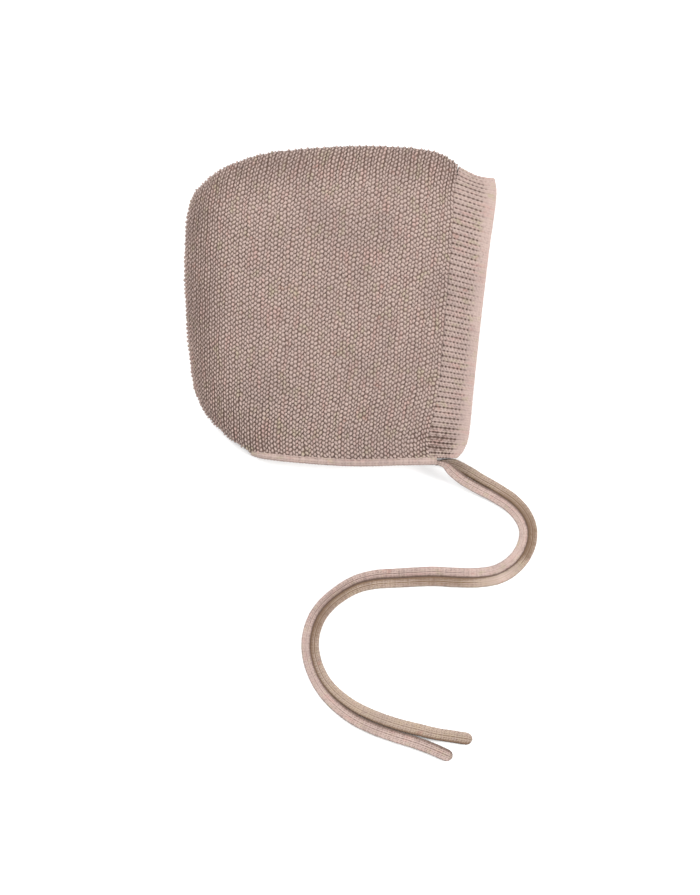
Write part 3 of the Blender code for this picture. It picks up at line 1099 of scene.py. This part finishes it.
@dataclass
class TiePair:
    """The two flat knitted ties, side by side on the table."""

    form: BonnetForm
    relief: StitchRelief
    width: float = 6.5 * MM
    thickness: float = 2.6 * MM
    lower_extra: float = 9.5 * MM
    upper_extra: float = 2.0 * MM
    step: float = 0.5 * MM
    ring: int = 44
    wales: int = 10
    course: float = 1.3 * MM
    stitch_depth: float = 0.45 * MM
    root: float = 2.0 * MM
    root_taper: float = 10 * MM
    end_round: float = 3.2 * MM
    route: tuple = (
        (0.0498, -0.0788, 0.00, 1.00), (0.0530, -0.0793, 0.25, 0.99),
        (0.0570, -0.0812, 0.75, 0.90), (0.0625, -0.0848, 1.00, 0.62),
        (0.0700, -0.0892, 1.00, 0.25), (0.0775, -0.0932, 1.00, 0.04),
        (0.0850, -0.0982, 1.00, 0.00), (0.0905, -0.1042, 1.00, 0.00),
        (0.0935, -0.1110, 1.00, 0.00), (0.0933, -0.1182, 1.00, 0.00),
        (0.0903, -0.1250, 1.00, 0.00), (0.0850, -0.1306, 1.00, 0.00),
        (0.0780, -0.1343, 1.00, 0.00), (0.0690, -0.1358, 1.00, 0.00),
        (0.0580, -0.1358, 1.00, 0.00), (0.0475, -0.1353, 1.00, 0.00),
        (0.0375, -0.1357, 1.00, 0.00), (0.0275, -0.1363, 1.00, 0.00),
        (0.0185, -0.1369, 1.00, 0.00), (0.0095, -0.1388, 1.00, 0.00),
        (0.0015, -0.1427, 1.00, 0.00), (-0.0055, -0.1480, 1.00, 0.00),
        (-0.0110, -0.1547, 1.00, 0.00), (-0.0142, -0.1625, 1.00, 0.00),
        (-0.0150, -0.1705, 1.00, 0.00), (-0.0135, -0.1785, 1.00, 0.00),
        (-0.0100, -0.1865, 1.00, 0.00), (-0.0050, -0.1935, 1.00, 0.00),
        (0.0015, -0.1995, 1.00, 0.00), (0.0090, -0.2045, 1.00, 0.00),
        (0.0180, -0.2087, 1.00, 0.00), (0.0280, -0.2122, 1.00, 0.00),
        (0.0380, -0.2150, 1.05, 0.00), (0.0475, -0.2176, 1.30, 0.00),
        (0.0560, -0.2198, 1.80, 0.00),
    )
    # Share of the length, then the pair's spacing, each tie's width and the pair's shift to the
    # right in millimetres
    set_of_pair: tuple = (
        (0.00, 5.0, 5.2, 0.0), (0.06, 5.2, 5.4, 0.0), (0.12, 4.8, 5.2, 0.1),
        (0.20, 4.4, 4.9, -0.7), (0.28, 4.7, 5.3, -0.7), (0.36, 4.8, 5.3, -0.4),
        (0.50, 4.7, 5.1, -0.2), (0.58, 4.1, 4.6, -0.5), (0.66, 4.2, 4.7, -0.2),
        (0.74, 4.4, 5.1, 0.6), (0.84, 5.9, 6.0, 0.6), (0.94, 6.3, 6.4, 0.6),
        (1.00, 5.6, 6.4, 1.2),
    )

    # Millimetres run, then how much the upper and the lower tie catch the light (above 0) or
    # show their shaded inside (below 0)
    moods: tuple = (
        (0, -0.10, -0.15), (20, 0.00, -0.10), (45, 0.00, -0.30), (62, 0.10, -0.50),
        (76, 0.25, -0.45), (86, 0.15, 0.35), (93, 0.10, 0.75), (101, 0.00, 0.25),
        (113, -0.05, -0.30), (130, -0.10, -0.35), (150, -0.15, -0.10), (175, -0.20, -0.30),
        (195, 0.10, -0.45), (215, 0.10, -0.10), (245, 0.00, 0.05), (300, -0.05, -0.10),
    )

    def line(self, side: int) -> tuple[np.ndarray, np.ndarray]:
        """One tie's own line on the table.

        Args:
            side: 1 for the upper layer's tie, -1 for the lower layer's.

        Returns:
            Its dense centre line, and the share of the route at each point.
        """
        route = smooth_through(self.route)
        share = run_of(route[:, :2])
        share = share / share[-1]
        table = np.array(self.set_of_pair)
        spacing = np.interp(share, table[:, 0], table[:, 1]) * MM
        heading = unit(np.gradient(route[:, :2], axis=0))
        right = np.stack([heading[:, 1], -heading[:, 0]], axis=-1)
        shift = np.interp(share, table[:, 0], table[:, 3]) * MM
        spot = route[:, :2] + right * (side * route[:, 2] * spacing / 2 + shift)[:, None]
        rest = self.thickness / 2 + 0.2 * MM
        z = np.full(len(spot), rest)
        if side > 0:
            z += (self.form.neck_loft - 1.6 * MM - rest) * np.maximum(route[:, 3], 0.0)
        line = np.column_stack([spot, z])
        back = unit(line[1] - line[0])
        line = np.vstack([line[0] - back * self.root, line])
        share = np.concatenate([[0.0], share])
        ahead = unit(line[-1] - line[-2])
        longer = self.lower_extra if side < 0 else self.upper_extra
        line = np.vstack([line, line[-1] + ahead * longer])
        share = np.concatenate([share, [1.0]])
        return line, share

    def build(self, name: str, side: int, finish: WoolFinish) -> bpy.types.Object:
        """Build and dress one tie.

        Args:
            name: The piece's name, and that of its solid after the first part.
            side: 1 for the upper layer's tie, -1 for the lower layer's.
            finish: Its wool.

        Returns:
            The piece.
        """
        line, share = self.line(side)
        run = run_of(line)
        count = round(run[-1] / self.step)
        path = np.linspace(0.0, run[-1], count + 1)
        centre = np.stack([np.interp(path, run, c) for c in line.T], axis=-1)
        table = np.array(self.set_of_pair)
        width = np.interp(np.interp(path, run, share), table[:, 0], table[:, 2]) * MM
        thick = self.thickness * (1.0 + 0.45 * (self.width - width) / self.width)
        left = np.clip((run[-1] - path) / self.end_round, 0.0, 1.0)
        tip = np.sqrt(1.0 - (1.0 - left) ** 2)
        width = width * np.maximum(tip, 0.12) * (0.45 + 0.55 * easing(0.0, self.root_taper, path))
        thick = thick * np.maximum(tip, 0.3) ** 0.6
        lifted = centre[:, 2] - self.thickness / 2
        centre[:, 2] = lifted + thick / 2
        along = unit(np.gradient(centre, axis=0))
        right = unit(np.cross(along, (0.0, 0.0, 1.0)))
        up = np.cross(right, along)
        curl = 0.16 * np.sin(path / (21.0 * MM) + side) + 0.10 * np.sin(path / (8.3 * MM))
        moods = np.array(self.moods)
        mood = np.interp(path / MM, moods[:, 0], moods[:, 1 if side > 0 else 2])
        mesh = KnitMesh(name)
        columns, details = [], []
        for k in range(self.ring):
            angle = 2.0 * math.pi * k / self.ring
            a, b = math.cos(angle), math.sin(angle)
            wide = math.copysign(abs(a) ** 0.8, a) * width / 2
            high = math.copysign(abs(b) ** 0.95, b) * thick / 2
            wale = np.full(count + 1, k / self.ring * self.wales)
            knit = self.relief.plain(wale, path / self.course + 0.5 * side)
            sink = self.stitch_depth * (1.0 - knit)
            hollow = 0.22 * (1.0 - a * a) * thick * (b > 0)
            cupped = 0.22 * curl * wide * (1.0 if b > 0 else 0.0)
            spot = centre + right * wide[:, None] + up * (high - hollow + cupped)[:, None]
            columns.append(spot - (right * a + up * b) * sink[:, None])
            # painted light on the tie: shade in the stitch gaps, shade on the side toward the
            # partner tie, a lighter top, and the moods' painted highlight or shade
            inner = float(easing(0.20, 0.95, np.array(-a * side)))
            lit = (0.05 + 0.95 * knit) * (1.0 - 0.9 * inner) + 0.12 * max(b, 0.0) * (1.0 - inner)
            lit = lit + mood * max(b, 0.0)
            details.append(np.stack([wale, path / self.course, lit], axis=-1))
        grid = mesh.add(np.stack(columns), np.stack(details))
        mesh.quads(np.vstack([grid, grid[:1]]), flip=False)
        mesh.faces.append(grid[:, 0].tolist())
        mesh.faces.append(grid[::-1, -1].tolist())
        tie = mesh.make()
        finish.dress(tie)
        settle(tie, "tie_knit", name.replace("_knit", ""))
        return tie


@dataclass
class Studio:
    """The pale table, the soft light and the camera straight over the bonnet."""

    centre: tuple[float, float] = (0.005, -0.071)
    frame_height: float = 0.4475
    distance: float = 1.8
    sensor: float = 24.0
    look_height: float = 0.008
    table_colour: tuple = (0.90, 0.90, 0.90, 1.0)
    table_size: float = 6.0
    ambient: float = 1.20
    lamp_aim: tuple = (0.0, -0.03, 0.0)

    def camera(self) -> None:
        """Make the camera, looking straight down."""
        data = bpy.data.cameras.new("over_table")
        data.sensor_fit = "VERTICAL"
        data.sensor_height = self.sensor
        data.lens = self.sensor * (self.distance - self.look_height) / self.frame_height
        data.clip_end = 20.0
        camera = bpy.data.objects.new("over_table", data)
        camera.location = (*self.centre, self.distance)
        bpy.context.scene.collection.objects.link(camera)
        bpy.context.scene.camera = camera

    def table(self) -> None:
        """Make the pale table top."""
        half = self.table_size / 2
        mesh = bpy.data.meshes.new("table_top")
        corners = [(-half, -half, 0.0), (half, -half, 0.0), (half, half, 0.0), (-half, half, 0.0)]
        mesh.from_pydata(corners, [], [(0, 1, 2, 3)])
        table = bpy.data.objects.new("table_top", mesh)
        nodes = Nodes("table_paper")
        nodes.put(nodes.shader.inputs, {"Base Color": self.table_colour, "Roughness": 0.85})
        mesh.materials.append(nodes.material)
        bpy.context.scene.collection.objects.link(table)

    def lamp(self, name: str, place: tuple, size: float, power: float) -> None:
        """Hang a soft square lamp that looks at the bonnet.

        Args:
            name: The lamp's name.
            place: Where it hangs.
            size: Its side.
            power: Its power in watts.
        """
        data = bpy.data.lights.new(name, "AREA")
        data.size = size
        data.energy = power
        lamp = bpy.data.objects.new(name, data)
        lamp.location = place
        way = np.array(self.lamp_aim) - np.array(place)
        level = math.hypot(way[0], way[1])
        turn = math.atan2(way[0], -way[1]) + math.pi
        lamp.rotation_euler = (math.atan2(level, -way[2]), 0.0, turn)
        bpy.context.scene.collection.objects.link(lamp)

    def light(self) -> None:
        """Light the table softly, a little more from the right."""
        world = bpy.data.worlds.new("studio_white")
        world.use_nodes = True
        sky = world.node_tree.nodes["Background"]
        sky.inputs["Color"].default_value = (1.0, 1.0, 1.0, 1.0)
        sky.inputs["Strength"].default_value = self.ambient
        bpy.context.scene.world = world
        self.lamp("window_right", (1.3, -0.1, 0.9), 0.6, 22.0)
        self.lamp("bounce_left", (-0.9, 0.9, 1.0), 0.9, 23.0)
        bpy.context.scene.view_settings.view_transform = "Standard"


def main() -> None:
    """Build the scene: camera and ties first, then the bonnet's pieces."""
    logging.basicConfig(level=logging.INFO, format="%(name)s %(message)s")
    studio = Studio()
    studio.camera()
    form, relief = BonnetForm(), StitchRelief()
    ties = TiePair(form, relief)
    ties.build("tie_upper_knit", 1, WoolFinish("tie_upper_wool", 1.15, gap=0.8))
    # the lower tie's deep colour is a browner painted shade for the groove between the ties
    ties.build("tie_lower_knit", -1, WoolFinish(
        "tie_lower_wool", 1.12, face=(0.305, 0.236, 0.188), rose=(0.300, 0.230, 0.170),
        deep=(0.108, 0.064, 0.038), gap=0.8))
    Crown(form, relief).build(WoolFinish("crown_wool"))
    FaceBand(form, relief).build(WoolFinish("band_wool", 0.97))
    NeckBinding(form, relief).build(WoolFinish("binding_wool", 0.97))
    studio.table()
    studio.light()


if __name__ == "__main__":
    main()
